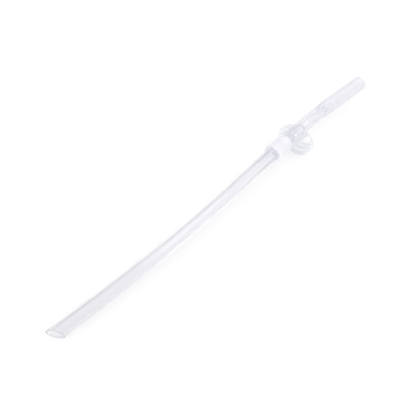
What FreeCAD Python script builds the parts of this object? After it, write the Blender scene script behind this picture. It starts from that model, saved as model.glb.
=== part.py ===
import FreeCAD, Part
import math
import os
import Sketcher

# Saliva ejector tip lying at rest, in millimetres.
# The hub's axis is parallel to X: the bevelled suction end points to +X and the hose end to -X.
# The pieces are made with that axis on the X axis and the collar's mouth at x = 0. At the end they
# are shifted together, so that the origin is the middle of the base of the whole tip's box.

SIZES = {
    # clear suction tube
    "tube_outer": 5.3,
    "tube_wall": 0.45,
    "tube_run": 33.0,        # straight, from the collar's mouth to the bend
    "tube_bend": 10.0,       # degrees
    "tube_sweep": 373.0,     # radius of the bend
    "tube_tail": 9.5,        # straight, from the bend to the middle of the bevel
    "bevel_turn": 29.4,      # degrees, seen from above, from the hub's axis to the bevel's normal
    "socket_deep": 7.2,      # how far the tube goes into the collar
    # white socket collar
    "mouth_gap": 0.55,       # radial, between the tube and the collar
    "collar_wall": 0.7,
    "collar_long": 9.0,
    "snap_rise": 0.2,
    "snap_wide": 0.5,
    # grip ring between the tube and the collar
    "ring_wide": 1.6,
    "ring_setback": 3.4,     # from the collar's mouth
    "ring_bite": 0.2,        # how deep it sits in the collar's wall
    # hub
    "spigot_long": 5.8,
    "lumen": 3.0,
    "flange_rim": 0.2,       # how far the flange stands out beyond the collar
    "flange_thick": 2.8,
    "tail_wall": 0.6,
    "neck_step": 0.4,        # from the tail's radius to the neck's
    "tail_long": 5.5,
    # vent plate, an off-centre oval
    "plate_wide": 16.0,
    "plate_high": 12.6,
    "plate_thick": 3.5,
    "plate_aside": 2.3,      # from the hub's axis, to +Y
    "plate_drop": 0.1,       # from the hub's axis, to -Z
    "plate_lip": 1.2,
    "plate_dish": 0.6,
    "plate_round": 0.9,
    "vent_bore": 3.8,
    "vent_aside": 6.4,
    "vent_rise": 1.4,
    # fluted shank
    "shank_run": 10.3,       # straight, from the plate to the bend
    "shank_bend": 10.0,      # degrees
    "shank_sweep": 57.0,     # radius of the bend
    "plug_long": 7.0,        # straight end, inside the sleeve
    "shoulder_rim": 0.7,     # how far the shoulder stands out beyond the shank
    "shoulder_thick": 1.0,
    "flute_deep": 0.32,
    "flute_runout": 2.5,     # how far the flutes run on inside the sleeve
    # frosted end sleeve
    "sleeve_outer": 6.5,
    "sleeve_wall": 1.0,
    "sleeve_skin": 0.39,     # what is left of its wall round the plug
    "sleeve_long": 28.2,
    "sleeve_lead": 0.4,
    "nose_round": 1.7,
    "nose_thick": 2.2,
    "outlet": 2.8,
    # clearances
    "turn_gap": 0.06,        # radial, where one piece turns or slides in another
    "face_gap": 0.1,         # between faces that turn past each other
}

# Places and radii that follow from the sizes. X runs from the collar's mouth.
DERIVED = {
    "tube_end": "- socket_deep",
    "tube_hole": "( tube_outer / 2 - tube_wall )",
    "collar_hole": "( tube_outer / 2 + mouth_gap )",
    "collar_radius": "( collar_hole + collar_wall )",
    "flange_radius": "( collar_radius + flange_rim )",
    "boss_face": "( tube_end - face_gap )",
    "flange_face": "( - collar_long - face_gap )",
    "flange_end": "( flange_face - flange_thick )",
    "plate_face": "( flange_end - face_gap )",
    "plate_end": "( plate_face - plate_thick )",
    "shank_face": "( plate_end - face_gap )",
    "snap_middle": "( ( boss_face + flange_face ) / 2 )",
    "boss_radius": "( collar_hole - turn_gap )",
    "spigot_radius": "( tube_hole - turn_gap )",
    "spigot_tip": "( boss_face + spigot_long )",
    "tail_radius": "( lumen / 2 + tail_wall )",
    "neck_radius": "( tail_radius + neck_step )",
    "shank_radius": "( sleeve_outer / 2 - sleeve_skin - turn_gap )",
    "tail_end": "( shank_face - tail_long )",
    "bend_start": "( shank_face - shank_run )",
    "bend_end": "( bend_start - shank_sweep * sin( shank_bend ) )",
    "bend_aside": "( shank_sweep * ( 1 - cos( shank_bend ) ) )",
}
FLUTE_COUNT = 12
FLUTE_SHARE = 0.58           # of the pitch that a flute takes, the rest being land
X_AXIS = FreeCAD.Vector(1, 0, 0)
Z_AXIS = FreeCAD.Vector(0, 0, 1)

doc = FreeCAD.newDocument("saliva_ejector_tip")
sheet = doc.addObject("Spreadsheet::Sheet", "dims")
for row, (word, number) in enumerate(SIZES.items(), start=1):
    sheet.set("A%d" % row, word)
    sheet.set("B%d" % row, str(number))
    sheet.setAlias("B%d" % row, word)
gauge = doc.addObject("App::FeaturePython", "gauge")
gauge.addProperty("App::PropertyFloat", "reading")
doc.recompute()


def bound(expression):
    """The expression with each derived word opened up and each size read from the sheet."""
    words = expression.replace("(", " ( ").replace(")", " ) ").split()
    while any(word in DERIVED for word in words):
        words = " ".join(DERIVED.get(word, word) for word in words).split()
    words = ["dims." + word if word in SIZES else word for word in words]
    return " ".join(words).replace("sin (", "sin(").replace("cos (", "cos(")


def value(expression):
    """The number that an expression in the sheet's words comes to."""
    gauge.setExpression("reading", bound(expression))
    gauge.recompute()
    return gauge.reading


def set_sizes(item, **expressions):
    """Binds properties of an object to expressions in the sheet's words."""
    for name, expression in expressions.items():
        item.setExpression(name.replace("__", "."), bound(expression))


def new_body(name):
    body = doc.addObject("PartDesign::Body", name)
    body.Label = name
    return body


def new_sketch(body, name, plane):
    sketch = body.newObject("Sketcher::SketchObject", name)
    for feature in body.Origin.OriginFeatures:
        if feature.Role == plane:
            sketch.AttachmentSupport = [(feature, "")]
    sketch.MapMode = "FlatFace"
    return sketch


def place_point(sketch, geometry, end, across, up):
    """Ties a point of a sketch to the sketch's origin by two expressions."""
    for kind, expression in (("DistanceX", across), ("DistanceY", up)):
        if expression is not None:
            measure = value(expression)
            number = sketch.addConstraint(Sketcher.Constraint(kind, -1, 1, geometry, end, measure))
            sketch.setExpression("Constraints[%d]" % number, bound(expression))


def outline(body, name, points):
    """A closed polygon on the XY plane, its corners given as pairs of expressions."""
    sketch = new_sketch(body, name, "XY_Plane")
    count = len(points)
    turns = [2 * math.pi * i / count for i in range(count)]
    ring = [FreeCAD.Vector(math.cos(turn), math.sin(turn), 0) for turn in turns]
    for i in range(count):
        sketch.addGeometry(Part.LineSegment(ring[i], ring[(i + 1) % count]))
    for i in range(count):
        sketch.addConstraint(Sketcher.Constraint("Coincident", i, 2, (i + 1) % count, 1))
    for i, (across, up) in enumerate(points):
        place_point(sketch, i, 1, across, up)
    return sketch


def turned(body, name, points):
    """A full turn of an outline about the X axis."""
    sketch = outline(body, name + "_outline", points)
    feature = body.newObject("PartDesign::Revolution", name)
    feature.Profile = sketch
    feature.ReferenceAxis = (sketch, ["H_Axis"])
    feature.Angle = 360
    return feature


def circles(body, name, start, *diameters):
    """Circles about the X axis, in the plane across it at start."""
    sketch = new_sketch(body, name, "YZ_Plane")
    set_sizes(sketch, AttachmentOffset__Base__z=start)
    for diameter in diameters:
        index = sketch.addGeometry(Part.Circle(FreeCAD.Vector(), Z_AXIS, 2.0))
        sketch.addConstraint(Sketcher.Constraint("Coincident", index, 3, -1, 1))
        number = sketch.addConstraint(Sketcher.Constraint("Diameter", index, 4.0))
        sketch.setExpression("Constraints[%d]" % number, bound(diameter))
    return sketch


def bent_path(body, name, heading, side, start, corner, sweep, bend, last):
    """A line, a tangent arc and a line. It heads along +X or -X and turns to +Y or -Y."""
    radius = value(sweep)
    angle = math.radians(value(bend))
    begin = FreeCAD.Vector(value(start), 0, 0)
    knee = FreeCAD.Vector(value(corner), 0, 0)
    middle, ankle = (knee + radius * FreeCAD.Vector(heading * math.sin(turn),
                                                    side * (1 - math.cos(turn)), 0)
                     for turn in (angle / 2, angle))
    toe = ankle + value(last) * FreeCAD.Vector(heading * math.cos(angle), side * math.sin(angle), 0)
    sketch = new_sketch(body, name, "XY_Plane")
    sketch.addGeometry(Part.LineSegment(begin, knee))
    sketch.addGeometry(Part.Arc(knee, middle, ankle))
    sketch.addGeometry(Part.LineSegment(ankle, toe))
    ends = (1, 2) if heading * side > 0 else (2, 1)
    sketch.addConstraint(Sketcher.Constraint("Coincident", 0, 2, 1, ends[0]))
    sketch.addConstraint(Sketcher.Constraint("Coincident", 1, ends[1], 2, 1))
    along = "+" if heading > 0 else "-"
    aside = "+" if side > 0 else "-"
    ankle_x = "%s %s %s * sin( %s )" % (corner, along, sweep, bend)
    ankle_y = "0 %s %s * ( 1 - cos( %s ) )" % (aside, sweep, bend)
    place_point(sketch, 0, 1, start, "0")
    place_point(sketch, 0, 2, corner, "0")
    place_point(sketch, 1, 3, corner, None)
    place_point(sketch, 1, ends[1], ankle_x, ankle_y)
    place_point(sketch, 2, 2, "%s %s ( %s ) * cos( %s )" % (ankle_x, along, last, bend),
                "%s %s ( %s ) * sin( %s )" % (ankle_y, aside, last, bend))
    return sketch


def pipe(body, kind, name, profile, path):
    feature = body.newObject("PartDesign::%sPipe" % kind, name)
    feature.Profile = profile
    feature.Spine = (path, ["Edge1", "Edge2", "Edge3"])
    return feature


def round_edges(shape, radius, low, high):
    """The names of the circular edges of this radius whose centres lie between low and high in X."""
    found = []
    for number, edge in enumerate(shape.Edges, start=1):
        curve = edge.Curve
        if isinstance(curve, Part.Circle) and abs(curve.Radius - radius) < 0.01:
            if low - 0.01 < curve.Center.x < high + 0.01:
                found.append("Edge%d" % number)
    return found


def dress(body, kind, name, base, edges, amount):
    feature = body.newObject("PartDesign::%s" % kind, name)
    feature.Base = (base, edges)
    set_sizes(feature, **{"Radius" if kind == "Fillet" else "Size": amount})
    return feature


def suction_tube():
    """Thin clear tube: straight in the collar, gently bent, then cut off at a slant."""
    body = new_body("suction_tube")
    path = bent_path(body, "tube_path", 1, -1, "tube_end", "tube_run", "tube_sweep", "tube_bend",
                     "tube_tail + tube_outer")
    section = circles(body, "tube_section", "tube_end", "tube_outer", "2 * tube_hole")
    pipe(body, "Additive", "tube_whole", section, path)
    body.Placement = FreeCAD.Placement(FreeCAD.Vector(), roll)

    # The cut is upright in the finished tip, so its sketch lies level there.
    end_x = value("tube_run + tube_sweep * sin( tube_bend ) + tube_tail * cos( tube_bend )")
    end_y = -value(TUBE_ASIDE) * math.cos(math.radians(roll_angle))
    heading = math.radians(value("bevel_turn"))
    across = FreeCAD.Vector(-math.sin(heading), math.cos(heading), 0) * value("2 * tube_outer")
    onward = FreeCAD.Vector(math.cos(heading), math.sin(heading), 0) * value("3 * tube_outer")
    middle = FreeCAD.Vector(end_x, end_y, 0)
    corners = [middle - across, middle + across, middle + across + onward, middle - across + onward]
    sketch = new_sketch(body, "bevel_outline", "XY_Plane")
    sketch.AttachmentOffset = FreeCAD.Placement(FreeCAD.Vector(), roll.inverted())
    for i in range(4):
        sketch.addGeometry(Part.LineSegment(corners[i], corners[(i + 1) % 4]))
    doc.recompute()
    bevel = body.newObject("PartDesign::Pocket", "bevel")
    bevel.Profile = sketch
    bevel.SideType = "Symmetric"
    set_sizes(bevel, Length="8 * tube_outer")
    return body


def socket_collar():
    """Short white sleeve that holds the tube and turns on the hub's boss."""
    body = new_body("socket_collar")
    ring_floor = "collar_hole + ring_bite"
    snap_floor = "collar_hole + snap_rise + turn_gap"
    ring_near = "- ring_setback"
    ring_far = "- ring_setback - ring_wide"
    snap_near = "snap_middle + snap_wide / 2 + turn_gap"
    snap_far = "snap_middle - snap_wide / 2 - turn_gap"
    shell = turned(body, "collar_shell", [
        ("0", "collar_hole"), ("0", "collar_radius"),
        ("- collar_long", "collar_radius"), ("- collar_long", "collar_hole"),
        (snap_far, "collar_hole"), (snap_far, snap_floor),
        (snap_near, snap_floor), (snap_near, "collar_hole"),
        (ring_far, "collar_hole"), (ring_far, ring_floor),
        (ring_near, ring_floor), (ring_near, "collar_hole"),
    ])
    doc.recompute()
    rims = round_edges(shell.Shape, value("collar_radius"), value("- collar_long"), 0)
    dress(body, "Fillet", "collar_rims", shell, rims, "collar_wall / 4")
    return body


def grip_ring():
    """Soft ring in a groove of the collar. It grips the tube and seals it."""
    body = new_body("grip_ring")
    near = "- ring_setback"
    far = "- ring_setback - ring_wide"
    outer = "collar_hole + ring_bite"
    inner = "tube_outer / 2 + turn_gap"
    ring = turned(body, "ring", [(near, inner), (near, outer), (far, outer), (far, inner)])
    doc.recompute()
    lips = round_edges(ring.Shape, value(inner), value(far), value(near))
    dress(body, "Fillet", "ring_lips", ring, lips, "ring_wide / 6")
    return body


def hub_body():
    """Clear hub: spigot, snap-in boss, domed flange, neck for the plate, and a tail in the shank."""
    body = new_body("hub_body")
    bead = "boss_radius + snap_rise"
    bead_near = "snap_middle + snap_wide / 2"
    bead_far = "snap_middle - snap_wide / 2"
    hub = turned(body, "hub_turned", [
        ("spigot_tip", "lumen / 2"), ("spigot_tip", "spigot_radius"),
        ("boss_face", "spigot_radius"), ("boss_face", "boss_radius"),
        (bead_near, "boss_radius"), (bead_near, bead), (bead_far, bead), (bead_far, "boss_radius"),
        ("flange_face", "boss_radius"), ("flange_face", "collar_radius"),
        ("flange_end", "flange_radius"), ("flange_end", "neck_radius"),
        ("shank_face", "neck_radius"), ("shank_face", "tail_radius"),
        ("tail_end", "tail_radius"), ("tail_end", "lumen / 2"),
    ])
    doc.recompute()
    tip = round_edges(hub.Shape, value("spigot_radius"), value("spigot_tip"), value("spigot_tip"))
    dress(body, "Chamfer", "spigot_lead", hub, tip, "( spigot_radius - lumen / 2 ) / 2")
    return body


def vent_plate():
    """Off-centre oval plate with a dished near face and a vent hole beside its bore."""
    def slab(name, wide, high, start, thick):
        """An oval slab whose near face is at start and which is thick towards -X."""
        oval = doc.addObject("Part::Ellipse", name + "_oval")
        oval.Placement.Rotation = FreeCAD.Rotation(FreeCAD.Vector(1, 1, 1), 120)
        set_sizes(oval, MajorRadius="( %s ) / 2" % wide, MinorRadius="( %s ) / 2" % high,
                  Placement__Base__x=start, Placement__Base__y="plate_aside",
                  Placement__Base__z="- plate_drop")
        block = doc.addObject("Part::Extrusion", name)
        block.Base = oval
        block.DirMode = "Custom"
        block.Dir = FreeCAD.Vector(-1, 0, 0)
        block.Solid = True
        set_sizes(block, LengthFwd=thick)
        return block

    def rod(name, radius, start, long, aside="0", rise="0"):
        """A round rod that starts at start and runs towards -X."""
        shape = doc.addObject("Part::Cylinder", name)
        shape.Placement.Rotation = FreeCAD.Rotation(FreeCAD.Vector(0, 1, 0), -90)
        set_sizes(shape, Radius=radius, Height=long, Placement__Base__x=start,
                  Placement__Base__y=aside, Placement__Base__z=rise)
        return shape

    def joined(kind, name, base, tool):
        shape = doc.addObject("Part::%s" % kind, name)
        shape.Base = base
        shape.Tool = tool
        return shape

    blank = slab("plate_blank", "plate_wide", "plate_high", "plate_face", "plate_thick")
    doc.recompute()
    rims = doc.addObject("Part::Fillet", "plate_rims")
    rims.Base = blank
    rounding = value("plate_round")
    rims.Edges = [(number, rounding, rounding) for number, edge
                  in enumerate(blank.Shape.Edges, start=1) if isinstance(edge.Curve, Part.Ellipse)]
    hollow = slab("plate_hollow", "plate_wide - 2 * plate_lip", "plate_high - 2 * plate_lip",
                  "plate_face", "plate_dish")
    hub_seat = rod("plate_seat", "flange_radius + plate_lip / 4", "plate_face", "plate_dish")
    dish = joined("Cut", "plate_dish_tool", hollow, hub_seat)
    dished = joined("Cut", "plate_dished", rims, dish)
    bore = rod("plate_bore", "neck_radius + turn_gap", "plate_face + 1", "plate_thick + 2")
    bored = joined("Cut", "plate_bored", dished, bore)
    vent = rod("plate_vent", "vent_bore / 2", "plate_face + 1", "plate_thick + 2",
               "vent_aside", "vent_rise")
    plate = joined("Cut", "vent_plate", bored, vent)
    plate.Label = "vent_plate"
    return plate


def fluted_outline(body, name, start, radius, depth):
    """A round outline with shallow round flutes, in the plane across X at start."""
    sketch = new_sketch(body, name, "YZ_Plane")
    set_sizes(sketch, AttachmentOffset__Base__z=start)
    pitch = 2 * math.pi / FLUTE_COUNT
    half = pitch * FLUTE_SHARE / 2

    def rim(angle, inward=0.0):
        return (radius - inward) * FreeCAD.Vector(math.cos(angle), math.sin(angle), 0)

    for i in range(FLUTE_COUNT):
        middle = i * pitch
        sketch.addGeometry(Part.Arc(rim(middle - half), rim(middle, depth), rim(middle + half)))
        sketch.addGeometry(Part.Arc(rim(middle + half), rim(middle + pitch / 2),
                                    rim(middle + pitch - half)))
    return sketch


def disc(body, name, start, diameter, thick):
    """A round pad that starts at start and is thick towards -X."""
    feature = body.newObject("PartDesign::Pad", name)
    feature.Profile = circles(body, name + "_outline", start, diameter)
    feature.Reversed = True
    set_sizes(feature, Length=thick)
    return feature


def fluted_shank():
    """Hollow shank with flutes, bent near its end, with a plain plug inside the sleeve."""
    body = new_body("fluted_shank")
    path = bent_path(body, "shank_path", -1, 1, "shank_face", "bend_start", "shank_sweep",
                     "shank_bend", "flute_runout")
    outer = fluted_outline(body, "shank_section", "shank_face",
                           value("shank_radius"), value("flute_deep"))
    pipe(body, "Additive", "shank_fluted", outer, path)
    disc(body, "shoulder", "shank_face", "2 * shank_radius + 2 * shoulder_rim", "shoulder_thick")

    plug = disc(body, "plug", "bend_end - flute_runout * cos( shank_bend )", "2 * shank_radius",
                "plug_long - flute_runout")
    across_plug = plug.Profile[0]
    across_plug.AttachmentOffset = FreeCAD.Placement(
        FreeCAD.Vector(), FreeCAD.Rotation(FreeCAD.Vector(0, 1, 0), -value("shank_bend")))
    set_sizes(across_plug,
              AttachmentOffset__Base__x="bend_aside + flute_runout * sin( shank_bend )")

    bore_path = bent_path(body, "lumen_path", -1, 1, "shank_face", "bend_start", "shank_sweep",
                          "shank_bend", "plug_long + 1")
    bore = circles(body, "lumen_section", "shank_face", "lumen")
    pipe(body, "Subtractive", "shank_lumen", bore, bore_path)
    socket = body.newObject("PartDesign::Pocket", "tail_socket")
    socket.Profile = circles(body, "tail_socket_outline", "shank_face", "2 * tail_radius")
    set_sizes(socket, Length="tail_long + face_gap")
    body.Placement = FreeCAD.Placement(FreeCAD.Vector(), roll)
    return body


def end_sleeve():
    """Soft frosted sleeve that is pushed over the shank's plug and goes into the suction hose."""
    body = new_body("end_sleeve")
    mouth = "shank_radius + turn_gap"
    step = "- plug_long - face_gap"
    bore = "sleeve_outer / 2 - sleeve_wall"
    nose = "- sleeve_long + nose_thick"
    shell = turned(body, "sleeve_shell", [
        ("0", mouth), ("0", "sleeve_outer / 2 - sleeve_lead / 2"),
        ("- sleeve_lead", "sleeve_outer / 2"), ("- sleeve_long", "sleeve_outer / 2"),
        ("- sleeve_long", "outlet / 2"), (nose, "outlet / 2"), (nose, bore),
        (step, bore), (step, mouth),
    ])
    doc.recompute()
    far = value("- sleeve_long")
    rim = round_edges(shell.Shape, value("sleeve_outer / 2"), far, far)
    dress(body, "Fillet", "nose", shell, rim, "nose_round")
    seat = FreeCAD.Placement(FreeCAD.Vector(value("bend_end"), value("bend_aside"), 0),
                             FreeCAD.Rotation(Z_AXIS, -value("shank_bend")))
    body.Placement = FreeCAD.Placement(FreeCAD.Vector(), roll) * seat
    return body


# The tube and the shank bend in one plane, opposite ways. The plane is rolled about the hub's axis
# until the bevel and the vent plate's rim touch the same floor.
TUBE_ASIDE = "tube_sweep * ( 1 - cos( tube_bend ) ) + tube_tail * sin( tube_bend )"
HUB_HEIGHT = "plate_high / 2 + plate_drop"
tube_fall = value("%s - tube_outer / 2" % HUB_HEIGHT)
roll_angle = math.degrees(math.asin(tube_fall / value(TUBE_ASIDE)))
roll = FreeCAD.Rotation(X_AXIS, roll_angle)

pieces = [suction_tube(), socket_collar(), grip_ring(), hub_body(), vent_plate(),
          fluted_shank(), end_sleeve()]
doc.recompute()

boxes = [piece.Shape.optimalBoundingBox(False, False) for piece in pieces]
low_x, high_x = min(box.XMin for box in boxes), max(box.XMax for box in boxes)
low_y, high_y = min(box.YMin for box in boxes), max(box.YMax for box in boxes)
shift = FreeCAD.Vector(-(low_x + high_x) / 2, -(low_y + high_y) / 2, -min(box.ZMin for box in boxes))
for piece in pieces:
    piece.Placement = FreeCAD.Placement(shift, FreeCAD.Rotation()) * piece.Placement
doc.recompute()

for item in doc.Objects:
    if "Invalid" in item.State or "Error" in item.State:
        raise SystemExit("%s failed to build" % item.Name)
os.makedirs("parts", exist_ok=True)
for piece in pieces:
    shape = piece.Shape
    if shape.isNull() or not shape.isValid() or len(shape.Solids) != 1:
        raise SystemExit("%s has no sound solid" % piece.Label)
    shape.exportStep("parts/%s.step" % piece.Label)
    print("%-14s %8.1f mm3" % (piece.Label, shape.Volume))

# Where the joints and the mount are, for whoever writes them down.
sleeve_way = roll.multVec(FreeCAD.Rotation(Z_AXIS, -value("shank_bend")).multVec(-X_AXIS))
sleeve_mouth = pieces[-1].Placement.Base
print("hub axis at y %.3f z %.3f, collar mouth at x %.3f" % (shift.y, shift.z, shift.x))
print("sleeve mouth %.3f %.3f %.3f, way %.5f %.5f %.5f" % (*sleeve_mouth, *sleeve_way))
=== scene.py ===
import math
from functools import partial

import bmesh
import bpy
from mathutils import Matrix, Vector


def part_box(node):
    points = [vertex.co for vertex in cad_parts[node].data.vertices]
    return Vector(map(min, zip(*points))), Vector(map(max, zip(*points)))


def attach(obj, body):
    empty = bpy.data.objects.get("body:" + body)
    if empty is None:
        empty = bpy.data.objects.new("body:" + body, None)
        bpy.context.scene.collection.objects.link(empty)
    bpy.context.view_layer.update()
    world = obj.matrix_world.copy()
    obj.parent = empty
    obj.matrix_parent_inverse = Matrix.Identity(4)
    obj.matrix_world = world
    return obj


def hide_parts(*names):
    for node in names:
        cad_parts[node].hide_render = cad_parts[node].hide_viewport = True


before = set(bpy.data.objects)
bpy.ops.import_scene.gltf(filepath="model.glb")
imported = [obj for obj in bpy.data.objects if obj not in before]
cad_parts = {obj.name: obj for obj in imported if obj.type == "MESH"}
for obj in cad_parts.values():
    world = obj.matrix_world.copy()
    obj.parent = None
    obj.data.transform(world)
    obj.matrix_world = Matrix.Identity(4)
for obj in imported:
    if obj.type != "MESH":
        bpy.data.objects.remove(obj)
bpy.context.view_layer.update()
scene = bpy.context.scene
scene.view_settings.view_transform = "Standard"
# Light has to pass many clear walls, one behind another.
scene.cycles.max_bounces = 32
scene.cycles.transmission_bounces = 32
scene.cycles.glossy_bounces = 16
scene.cycles.transparent_max_bounces = 32

MM = 0.001
TAU = 2 * math.pi
X_AXIS = Vector((1, 0, 0))
WHITE = (1, 1, 1, 1)

# Sizes in metres, as in the CAD. OUT, IN, HOLE, LUMEN and OUTLET are radii, RUN and TUBE_TAIL are straight
# lengths, and SWEEP is a bend's radius. HUB_HIGH is how high the hub's axis lies over the floor.
TURN_GAP, FACE_GAP = 0.06 * MM, 0.1 * MM
BEND = math.radians(10)
HUB_HIGH = 6.4 * MM
TUBE_OUT, TUBE_WALL = 2.65 * MM, 0.45 * MM
TUBE_IN = TUBE_OUT - TUBE_WALL
TUBE_DEEP, TUBE_RUN, TUBE_SWEEP, TUBE_TAIL = 7.2 * MM, 33 * MM, 373 * MM, 9.5 * MM
BEVEL_TURN = math.radians(29.4)
MOUTH_GAP, COLLAR_WALL, COLLAR_LONG = 0.55 * MM, 0.7 * MM, 9 * MM
COLLAR_IN = TUBE_OUT + MOUTH_GAP
COLLAR_OUT = COLLAR_IN + COLLAR_WALL
RING_SETBACK, RING_WIDE, RING_BITE = 3.4 * MM, 1.6 * MM, 0.2 * MM
LUMEN, HUB_TAIL_OUT, HUB_TAIL_LONG = 1.5 * MM, 2.1 * MM, 5.5 * MM
SLEEVE_OUT, SLEEVE_WALL, SLEEVE_SKIN, SLEEVE_LONG = 3.25 * MM, 1 * MM, 0.39 * MM, 28.2 * MM
SLEEVE_IN = SLEEVE_OUT - SLEEVE_WALL
PLUG_HOLE = SLEEVE_OUT - SLEEVE_SKIN
NOSE_THICK, OUTLET = 2.2 * MM, 1.4 * MM
SHANK_OUT = PLUG_HOLE - TURN_GAP
SHANK_RUN, SHANK_SWEEP, PLUG_LONG = 10.3 * MM, 57 * MM, 7 * MM
SHOULDER_RIM, SHOULDER_THICK = 0.7 * MM, 1 * MM
FLUTES, FLUTE_SHARE, FLUTE_DEEP, FLUTE_RUNOUT = 12, 0.58, 0.32 * MM, 2.5 * MM

collar_low, collar_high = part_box("socket_collar")
MOUTH = Vector((collar_high.x, (collar_low.y + collar_high.y) / 2, (collar_low.z + collar_high.z) / 2))
tube_aside = TUBE_SWEEP * (1 - math.cos(BEND)) + TUBE_TAIL * math.sin(BEND)
# Rolled this far about the hub's axis, the tube's end comes down to the floor.
ROLL = math.asin((HUB_HIGH - TUBE_OUT) / tube_aside)
# The shank bends this way, and the tube bends the other way.
ASIDE = Vector((0, math.cos(ROLL), math.sin(ROLL)))


# ---------------------------------------------------------------- paths
def bent(start, heading, side, run, sweep):
    """A path: straight, an arc, then straight again. Gives the centre and two cross directions at s."""
    across = heading.cross(side)

    def at(s):
        if s <= run:
            return start + heading * s, side, across
        turn = min((s - run) / sweep, BEND)
        centre = start + heading * (run + sweep * math.sin(turn)) + side * (sweep * (1 - math.cos(turn)))
        way = heading * math.cos(turn) + side * math.sin(turn)
        centre += way * max(0.0, s - run - sweep * BEND)
        return centre, side * math.cos(turn) - heading * math.sin(turn), across
    return at


def straight(start, heading):
    """A straight path, which gives the same things as bent."""
    side = Vector((0, 0, 1)).cross(heading).normalized()
    across = heading.cross(side)
    return lambda s: (start + heading * s, side, across)


# ---------------------------------------------------------------- meshes
def rounded(corners, steps=3):
    """A closed outline with rounded corners. A corner is (along, radius) or (along, radius, rounding)."""
    outline = []
    count = len(corners)
    for i, corner in enumerate(corners):
        here = Vector(corner[:2])
        rounding = corner[2] if len(corner) > 2 else 0.0
        to_last = Vector(corners[i - 1][:2]) - here
        to_next = Vector(corners[(i + 1) % count][:2]) - here
        if rounding == 0:
            outline.append(here)
            continue
        half = to_last.angle(to_next) / 2
        reach = rounding / math.tan(half)
        first, last = here + to_last.normalized() * reach, here + to_next.normalized() * reach
        inward = (to_last.normalized() + to_next.normalized()).normalized()
        middle = here + inward * (rounding / math.sin(half))
        for step in range(steps + 1):
            spoke = (first - middle).lerp(last - middle, step / steps)
            outline.append(middle + spoke.normalized() * rounding)
    return outline


def dense(outline, step):
    """The outline with points added along its long runs."""
    points = []
    for i, here in enumerate(outline):
        onward = outline[(i + 1) % len(outline)]
        pieces = max(1, math.ceil((onward - here).length / step))
        points += [here.lerp(onward, j / pieces) for j in range(pieces)]
    return points


def face_outwards(mesh):
    work = bmesh.new()
    work.from_mesh(mesh)
    bmesh.ops.recalc_face_normals(work, faces=work.faces)
    work.to_mesh(mesh)
    work.free()


def swept(name, outline, path, count=96, shape=None):
    """A closed outline of (along, radius) turned round a path. shape takes (s, r, phi) to a new (s, r)."""
    verts, grain, faces = [], [], []
    for s, r in outline:
        for k in range(count):
            phi = TAU * k / count
            s2, r2 = shape(s, r, phi) if shape else (s, r)
            centre, e1, e2 = path(s2)
            verts.append(centre + (e1 * math.cos(phi) + e2 * math.sin(phi)) * r2)
            grain.append((r2 * math.cos(phi), r2 * math.sin(phi), s2))
    rings = len(outline)
    for i in range(rings):
        for k in range(count):
            a, b = i * count + k, i * count + (k + 1) % count
            c, d = (i + 1) % rings * count + (k + 1) % count, (i + 1) % rings * count + k
            faces.append((a, b, c, d))
    mesh = bpy.data.meshes.new(name)
    mesh.from_pydata(verts, [], faces)
    layer = mesh.attributes.new("grain", "FLOAT_VECTOR", "POINT")
    for item, vector in zip(layer.data, grain):
        item.vector = vector
    mesh.shade_smooth()
    face_outwards(mesh)
    piece = bpy.data.objects.new(name, mesh)
    scene.collection.objects.link(piece)
    piece.modifiers.new("weighted", "WEIGHTED_NORMAL")
    return piece


# ---------------------------------------------------------------- materials
PLASTIC_IOR = 1.45
NOISE_SPREAD = (0.7, 1.3)       # where most of the sum of two noises lies
FADE_FROM = 0.25                # the share of the cover that a fade_in starts with


def add_node(tree, kind, inputs=None, **settings):
    """A shader node with its settings made and each input set or linked."""
    made = tree.nodes.new("ShaderNode" + kind)
    for key, setting in settings.items():
        setattr(made, key, setting)
    for key, given in (inputs or {}).items():
        if isinstance(given, bpy.types.NodeSocket):
            tree.links.new(given, made.inputs[key])
        else:
            made.inputs[key].default_value = given
    return made


def ramp(node, value, low, high, to_low, to_high):
    """The value, with the range low to high stretched to the range to_low to to_high."""
    ends = {"From Min": low, "From Max": high, "To Min": to_low, "To Max": to_high}
    return node("MapRange", {"Value": value, **ends}).outputs[0]


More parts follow.
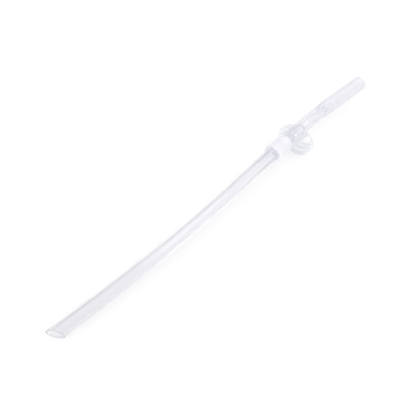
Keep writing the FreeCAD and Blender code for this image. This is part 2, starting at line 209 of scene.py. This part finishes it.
def milky(name, tint, haze, body, rim, gloss, rough, glow, mottle, bump,
          shadow=0.97, coords="grain", stretch=(1, 1, 1), size=900, fade_in=0.0):
    """Thin see-through plastic: a clear part, a haze that thickens towards grazing angles, and gloss on top.

    tint is the colour of what is seen through a wall, and haze is the haze's own colour. body and rim are how
    much the haze covers, seen square on and at a grazing angle. gloss is the strength of the reflection, and
    rough is its roughness. glow is the share of the haze's light that comes from behind. mottle is how uneven
    the cover is, bump is the strength of the relief, and size and stretch set the scale of both. shadow is
    what each wall lets through of a shadow ray. coords is "grain" for a swept piece and "object" for others.
    Over the length fade_in, from the start of the grain, the cover rises to full.
    """
    material = bpy.data.materials.new(name)
    material.use_nodes = True
    tree = material.node_tree
    tree.nodes.remove(tree.nodes["Principled BSDF"])
    node = partial(add_node, tree)

    def product(first, second):
        return node("Math", {0: first, 1: second}, operation="MULTIPLY", use_clamp=True).outputs[0]

    def mixed(share, first, second):
        return node("MixShader", {0: share, 1: first, 2: second}).outputs[0]

    if coords == "grain":
        place = node("Attribute", attribute_name="grain").outputs["Vector"]
    else:
        place = node("TexCoord").outputs["Object"]
    scaled = node("Mapping", {"Vector": place, "Scale": stretch}).outputs[0]
    fine = node("TexNoise", {"Vector": scaled, "Scale": size, "Detail": 3.0}).outputs["Fac"]
    broad = node("TexNoise", {"Vector": scaled, "Scale": size / 5, "Detail": 2.0}).outputs["Fac"]
    both = node("Math", {0: fine, 1: broad}, operation="ADD").outputs[0]
    uneven = ramp(node, both, *NOISE_SPREAD, 1 - mottle, 1 + mottle)
    relief = node("Bump", {"Height": both, "Strength": bump, "Distance": 0.1 * MM}).outputs[0]

    facing = node("LayerWeight", {"Blend": 0.5, "Normal": relief}).outputs["Facing"]
    grazing = node("Math", {0: facing, 1: 2.0}, operation="POWER").outputs[0]
    cover = ramp(node, grazing, 0.0, 1.0, body, rim)
    if fade_in:
        along = node("SeparateXYZ", {0: place}).outputs["Z"]
        cover = product(cover, ramp(node, along, 0.0, fade_in, FADE_FROM, 1.0))
    cover = product(cover, uneven)

    see = node("BsdfTransparent", {"Color": (*tint, 1)}).outputs[0]
    matt = node("BsdfDiffuse", {"Color": (*haze, 1), "Normal": relief}).outputs[0]
    lit = node("BsdfTranslucent", {"Color": (*haze, 1), "Normal": relief}).outputs[0]
    inside = mixed(cover, see, mixed(glow, matt, lit))
    shine = node("BsdfGlossy", {"Color": WHITE, "Roughness": rough, "Normal": relief}).outputs[0]
    edge = node("Fresnel", {"IOR": PLASTIC_IOR, "Normal": relief}).outputs[0]
    solid = mixed(product(edge, gloss), inside, shine)

    past = node("BsdfTransparent", {"Color": (shadow, shadow, shadow, 1)}).outputs[0]
    ray = node("LightPath").outputs["Is Shadow Ray"]
    tree.links.new(mixed(ray, solid, past), tree.nodes["Material Output"].inputs["Surface"])
    return material


clear_tube = milky("clear_tube", tint=(0.955, 0.955, 0.966), haze=(0.80, 0.80, 0.845), body=0.05, rim=0.055,
                   gloss=0.8, rough=0.13, glow=0.4, mottle=0.15, bump=0.015, stretch=(1, 1, 0.02))
# The slanting cut face is the same clear plastic as the tube, but it gets a darker, denser haze. This is
# painted shade for the dark rim that a clear wall's cut face shows.
cut_face_painted_shade = milky("cut_face_painted_shade", tint=(0.88, 0.88, 0.91), haze=(0.50, 0.52, 0.58), body=0.75, rim=0.75,
                 gloss=0.8, rough=0.2, glow=0.3, mottle=0.1, bump=0.02)
clear_hub = milky("clear_hub", tint=(0.955, 0.957, 0.967), haze=(0.76, 0.77, 0.815), body=0.07, rim=0.17,
                  gloss=0.7, rough=0.08, glow=0.4, mottle=0.1, bump=0.008, size=1500,
                  shadow=0.975, coords="object")
clear_shank = milky("clear_shank", tint=(0.958, 0.958, 0.968), haze=(0.72, 0.72, 0.76), body=0.12, rim=0.18,
                    gloss=0.25, rough=0.3, glow=0.3, mottle=0.25, bump=0.03, stretch=(1, 1, 0.05))
white_collar = milky("white_collar", tint=(0.97, 0.97, 0.985), haze=(0.90, 0.897, 0.92), body=0.55, rim=0.7,
                     gloss=0.6, rough=0.25, glow=0.4, mottle=0.05, bump=0.02)
frosted = milky("frosted", tint=(0.985, 0.985, 0.99), haze=(0.79, 0.787, 0.817), body=0.82, rim=0.84,
                gloss=0.1, rough=0.5, glow=0.4, mottle=0.03, bump=0.05, size=2500, fade_in=6 * MM)


def dress(piece, body, node, material):
    piece.data.materials.append(material)
    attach(piece, body)
    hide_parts(node)


# ---------------------------------------------------------------- suction tube
TUBE_LONG = TUBE_DEEP + TUBE_RUN + TUBE_SWEEP * BEND + TUBE_TAIL
TUBE_LIP = 0.12 * MM
CUT_ROOM = TUBE_TAIL * 0.9      # the length that stretches to the slanting cut
CUT_REACH = 7 * MM              # the cut face is all within this of its middle
CUT_FACING = 0.9                # and its normals are this close to the cut's
tube_path = bent(MOUTH - X_AXIS * TUBE_DEEP, X_AXIS, -ASIDE, TUBE_DEEP + TUBE_RUN, TUBE_SWEEP)
cut_middle = tube_path(TUBE_LONG)[0]
cut_way = Vector((math.cos(BEVEL_TURN), math.sin(BEVEL_TURN), 0))
tube_way = (cut_middle - tube_path(TUBE_LONG - MM)[0]).normalized()


def cut_at_a_slant(s, r, phi):
    """Stretches the last of the tube to the slanting cut."""
    start = TUBE_LONG - CUT_ROOM
    if s <= start:
        return s, r
    _, e1, e2 = tube_path(TUBE_LONG)
    spoke = (e1 * math.cos(phi) + e2 * math.sin(phi)) * r
    end = TUBE_LONG - spoke.dot(cut_way) / tube_way.dot(cut_way)
    return start + (s - start) * (end - start) / CUT_ROOM, r


tube_outline = dense(rounded([
    (0, TUBE_OUT, TUBE_LIP), (TUBE_LONG, TUBE_OUT, TUBE_LIP),
    (TUBE_LONG, TUBE_IN, TUBE_LIP), (0, TUBE_IN, TUBE_LIP)]), step=1.5 * MM)
tube = swept("tube", tube_outline, tube_path, shape=cut_at_a_slant)
dress(tube, "tube", "suction_tube", clear_tube)
tube.data.materials.append(cut_face_painted_shade)
# The faces of the slanting cut take the material with the painted shade.
for face in tube.data.polygons:
    if face.normal.dot(cut_way) > CUT_FACING and (face.center - cut_middle).length < CUT_REACH:
        face.material_index = 1

# ---------------------------------------------------------------- collar
ring_end = RING_SETBACK + RING_WIDE
ring_groove = COLLAR_IN + RING_BITE
collar_outline = dense(rounded([
    (0, COLLAR_OUT, 0.22 * MM), (COLLAR_LONG, COLLAR_OUT, 0.22 * MM), (COLLAR_LONG, COLLAR_IN, 0.1 * MM),
    (ring_end, COLLAR_IN), (ring_end, ring_groove), (RING_SETBACK, ring_groove), (RING_SETBACK, COLLAR_IN),
    (0, COLLAR_IN, 0.15 * MM)]), step=1.5 * MM)
collar = swept("collar", collar_outline, straight(MOUTH, -X_AXIS))
dress(collar, "collar", "socket_collar", white_collar)

# ---------------------------------------------------------------- shank
BEND_END = SHANK_RUN + SHANK_SWEEP * BEND
SHANK_END = BEND_END + PLUG_LONG
FLUTE_START, FLUTE_RISE, FLUTE_FADE = SHOULDER_THICK + 0.15 * MM, 0.5 * MM, 0.8 * MM
# Points between these radii are on the shank's outside.
SKIN_LOW, SKIN_HIGH = SHANK_OUT - 0.2 * MM, SHANK_OUT + 0.01 * MM
plate_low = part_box("vent_plate")[0]
shank_face = Vector((plate_low.x - FACE_GAP, MOUTH.y, MOUTH.z))
shank_path = bent(shank_face, -X_AXIS, ASIDE, SHANK_RUN, SHANK_SWEEP)


def flutes(s, r, phi):
    """Sinks round-bottomed flutes in the outside, from the shoulder to a little way inside the sleeve."""
    if s < FLUTE_START or not SKIN_LOW <= r <= SKIN_HIGH:
        return s, r
    turn = (phi * FLUTES / TAU + 0.5) % 1 - 0.5
    hollow = max(0.0, 1 - (2 * turn / FLUTE_SHARE) ** 2)
    rise = min(1.0, max(0.0, (s - FLUTE_START) / FLUTE_RISE))
    fade = min(1.0, max(0.0, (BEND_END + FLUTE_RUNOUT - s) / FLUTE_FADE))
    return s, r - FLUTE_DEEP * hollow * math.sqrt(fade) * rise


shoulder_out = SHANK_OUT + SHOULDER_RIM
socket_deep = HUB_TAIL_LONG + FACE_GAP
shank_outline = dense(rounded([
    (0, shoulder_out, 0.15 * MM), (SHOULDER_THICK, shoulder_out, 0.2 * MM),
    (SHOULDER_THICK, SHANK_OUT, 0.1 * MM), (SHANK_END, SHANK_OUT, 0.3 * MM), (SHANK_END, LUMEN, 0.2 * MM),
    (socket_deep, LUMEN), (socket_deep, HUB_TAIL_OUT), (0, HUB_TAIL_OUT, 0.1 * MM)]), step=0.35 * MM)
shank = swept("shank", shank_outline, shank_path, count=192, shape=flutes)
dress(shank, "hub", "fluted_shank", clear_shank)

# ---------------------------------------------------------------- sleeve
sleeve_start = shank_path(BEND_END)[0]
sleeve_way = (shank_path(BEND_END + MM)[0] - sleeve_start).normalized()
plug_hole_deep = PLUG_LONG + FACE_GAP
nose_inside = SLEEVE_LONG - NOSE_THICK
sleeve_outline = dense(rounded([
    (0, SLEEVE_OUT, 0.3 * MM), (SLEEVE_LONG, SLEEVE_OUT, 1.7 * MM), (SLEEVE_LONG, OUTLET, 0.3 * MM),
    (nose_inside, OUTLET, 0.1 * MM), (nose_inside, SLEEVE_IN, 0.2 * MM),
    (plug_hole_deep, SLEEVE_IN), (plug_hole_deep, PLUG_HOLE), (0, PLUG_HOLE, 0.1 * MM)], steps=6),
    step=1 * MM)
sleeve = swept("sleeve", sleeve_outline, straight(sleeve_start, sleeve_way))
dress(sleeve, "sleeve", "end_sleeve", frosted)

# ---------------------------------------------------------------- the CAD's own ring, hub and plate
for node, material in (("grip_ring", white_collar), ("hub_body", clear_hub), ("vent_plate", clear_hub)):
    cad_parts[node].material_slots[0].material = material


# ---------------------------------------------------------------- stage
def light_table():
    """A wide floor with a faint glow of its own, which keeps the shadows light."""
    bpy.ops.mesh.primitive_plane_add(size=6, location=(0, 0, 0))
    floor = bpy.context.object
    floor.name = "floor"
    material = bpy.data.materials.new("floor")
    material.use_nodes = True
    paint = material.node_tree.nodes["Principled BSDF"].inputs
    paint["Base Color"].default_value = (0.5, 0.5, 0.5, 1)
    paint["Emission Color"].default_value = WHITE
    paint["Emission Strength"].default_value = 0.375
    paint["Roughness"].default_value = 0.9
    paint["Specular IOR Level"].default_value = 0.1
    floor.data.materials.append(material)


def studio():
    """White surroundings that light the part mostly from above and one side. The camera sees plain white."""
    world = bpy.data.worlds.new("studio")
    world.use_nodes = True
    node = partial(add_node, world.node_tree)
    direction = node("TexCoord").outputs["Generated"]
    bright_way = (-0.15, 0.62, 0.77)
    lean = node("VectorMath", {0: direction, 1: bright_way}, operation="DOT_PRODUCT").outputs["Value"]
    level = ramp(node, lean, -0.4, 0.9, 0.6, 1.3)
    seen = node("LightPath").outputs["Is Camera Ray"]
    strength = node("Mix", {0: seen, 2: level, 3: 1.0}).outputs[0]
    background = world.node_tree.nodes["Background"]
    background.inputs["Color"].default_value = WHITE
    world.node_tree.links.new(strength, background.inputs["Strength"])
    scene.world = world


def aim(item, way):
    """Turns a lamp or a camera so that its back points along the way given."""
    item.rotation_mode = "QUATERNION"
    item.rotation_quaternion = Vector(way).to_track_quat("Z", "Y")


def sun(name, way, angle, energy, glossy):
    """A distant lamp that stands the way given and is angle degrees across. glossy: reflections show it."""
    light = bpy.data.lights.new(name, "SUN")
    light.angle = math.radians(angle)
    light.energy = energy
    lamp = bpy.data.objects.new(name, light)
    lamp.visible_glossy = glossy
    scene.collection.objects.link(lamp)
    aim(lamp, way)


light_table()
studio()
sun("softbox", (-0.49, -0.43, 0.76), angle=25, energy=0.55, glossy=False)
# A row of small suns, which stands in for a strip light.
STRIP_FROM, STRIP_TO, STRIP_SUNS = Vector((-0.485, 0.167, 0.858)), Vector((-0.235, 0.201, 0.950)), 5
for i in range(STRIP_SUNS):
    sun(f"strip_{i}", STRIP_FROM.lerp(STRIP_TO, i / (STRIP_SUNS - 1)), angle=8, energy=0.07, glossy=True)

# ---------------------------------------------------------------- camera
# Its place, aim and lens were fitted to the photo's outline.
cam = bpy.data.cameras.new("camera")
cam.lens = 43.2
cam.sensor_width = 36
camera = bpy.data.objects.new("camera", cam)
scene.collection.objects.link(camera)
camera.location = MOUTH + Vector((0.1260, 0.0706, 0.1386))
aim(camera, (0.4854, 0.4234, 0.7649))
scene.camera = camera
